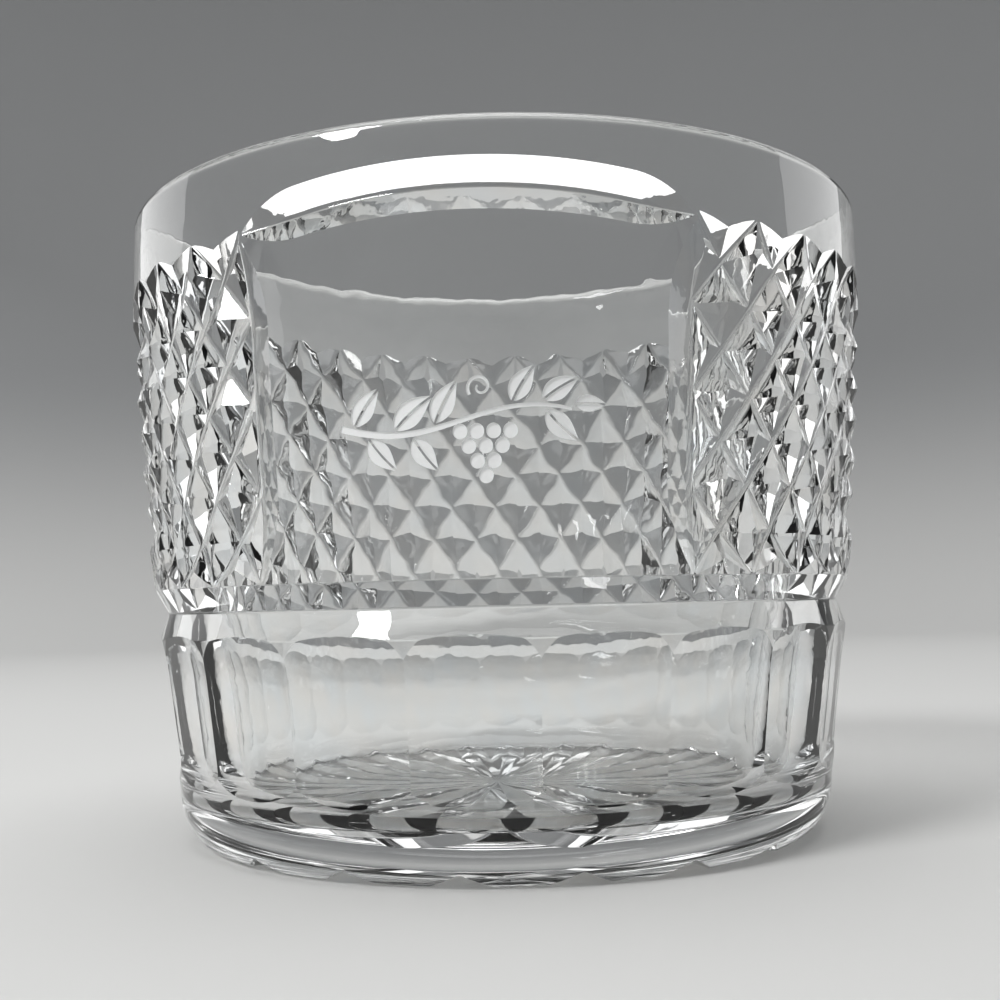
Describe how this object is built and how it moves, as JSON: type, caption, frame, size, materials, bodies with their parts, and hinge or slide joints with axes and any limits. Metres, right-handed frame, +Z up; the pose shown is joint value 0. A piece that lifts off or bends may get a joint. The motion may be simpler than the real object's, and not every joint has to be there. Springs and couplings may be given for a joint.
{
  "type": "wine bottle holder",
  "caption": "Heavy cut crystal tumbler that holds a wine bottle upright, with diamond cutting round the side, a plain window in front, a fluted base and a star cut under the foot.",
  "frame": {"origin": "middle of the foot, on the surface that the holder stands on", "axes": "+Z up along the axis of the cup, -Y out through the plain front window, +X to the right when facing the window"},
  "size_m": [0.1098, 0.1098, 0.0896],
  "materials": {
    "crystal": "clear colourless lead crystal, wheel cut and acid polished"
  },
  "bodies": {
    "root": {"glass_body": "crystal"}
  },
  "joints": []
}
